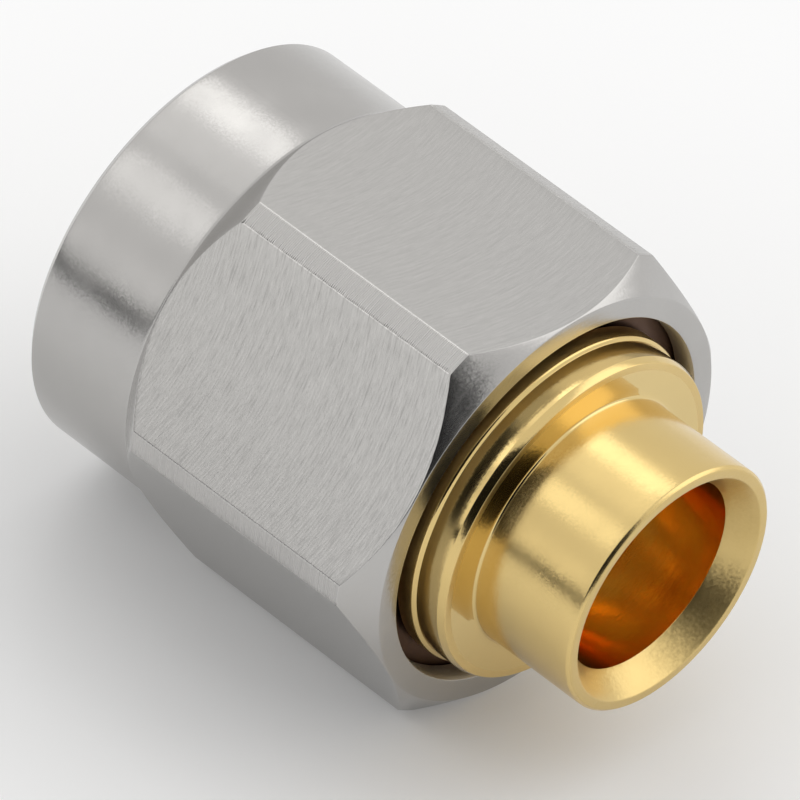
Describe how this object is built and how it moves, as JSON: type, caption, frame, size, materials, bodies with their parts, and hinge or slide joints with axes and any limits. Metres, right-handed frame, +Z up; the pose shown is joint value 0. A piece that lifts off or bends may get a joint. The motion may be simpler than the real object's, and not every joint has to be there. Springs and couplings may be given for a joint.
{
  "type": "coaxial screw connector plug",
  "caption": "Coaxial cable plug with a captive threaded hexagon nut, a gold collar and an open solder sleeve, lying on a flat of its nut.",
  "frame": {"origin": "centre of the mating plane, which is the front face of the contact tube, on the connector's axis", "axes": "+X along the axis, out of the threaded end towards the mating connector; +Z up, square to the hexagon's top flat; the part lies on the flat below; +Y to the left when looking along +X"},
  "size_m": [0.0113, 0.009, 0.008],
  "materials": {
    "nut_steel": "satin, turned and milled",
    "ring_copper": "plain spring copper alloy, browned",
    "gasket_rubber": "smooth elastic",
    "body_gold": "gold plated, satin sleeve and polished collar",
    "insulator_plastic": "waxy white",
    "contact_gold": "gold plated, polished"
  },
  "bodies": {
    "ferrule": {"connector_body": "body_gold", "insulator": "insulator_plastic", "centre_contact": "contact_gold", "gasket": "gasket_rubber"},
    "ring": {"retaining_ring": "ring_copper"},
    "nut": {"coupling_nut": "nut_steel"}
  },
  "joints": [
    {"name": "nut_float", "type": "slide", "parent": "ferrule", "child": "ring", "axis": [1, 0, 0], "range_m": [-0.0001, 0.0001]},
    {"name": "nut_spin", "type": "hinge", "parent": "ring", "child": "nut", "pos_m": [0, 0, 0], "axis": [1, 0, 0], "continuous": true}
  ]
}
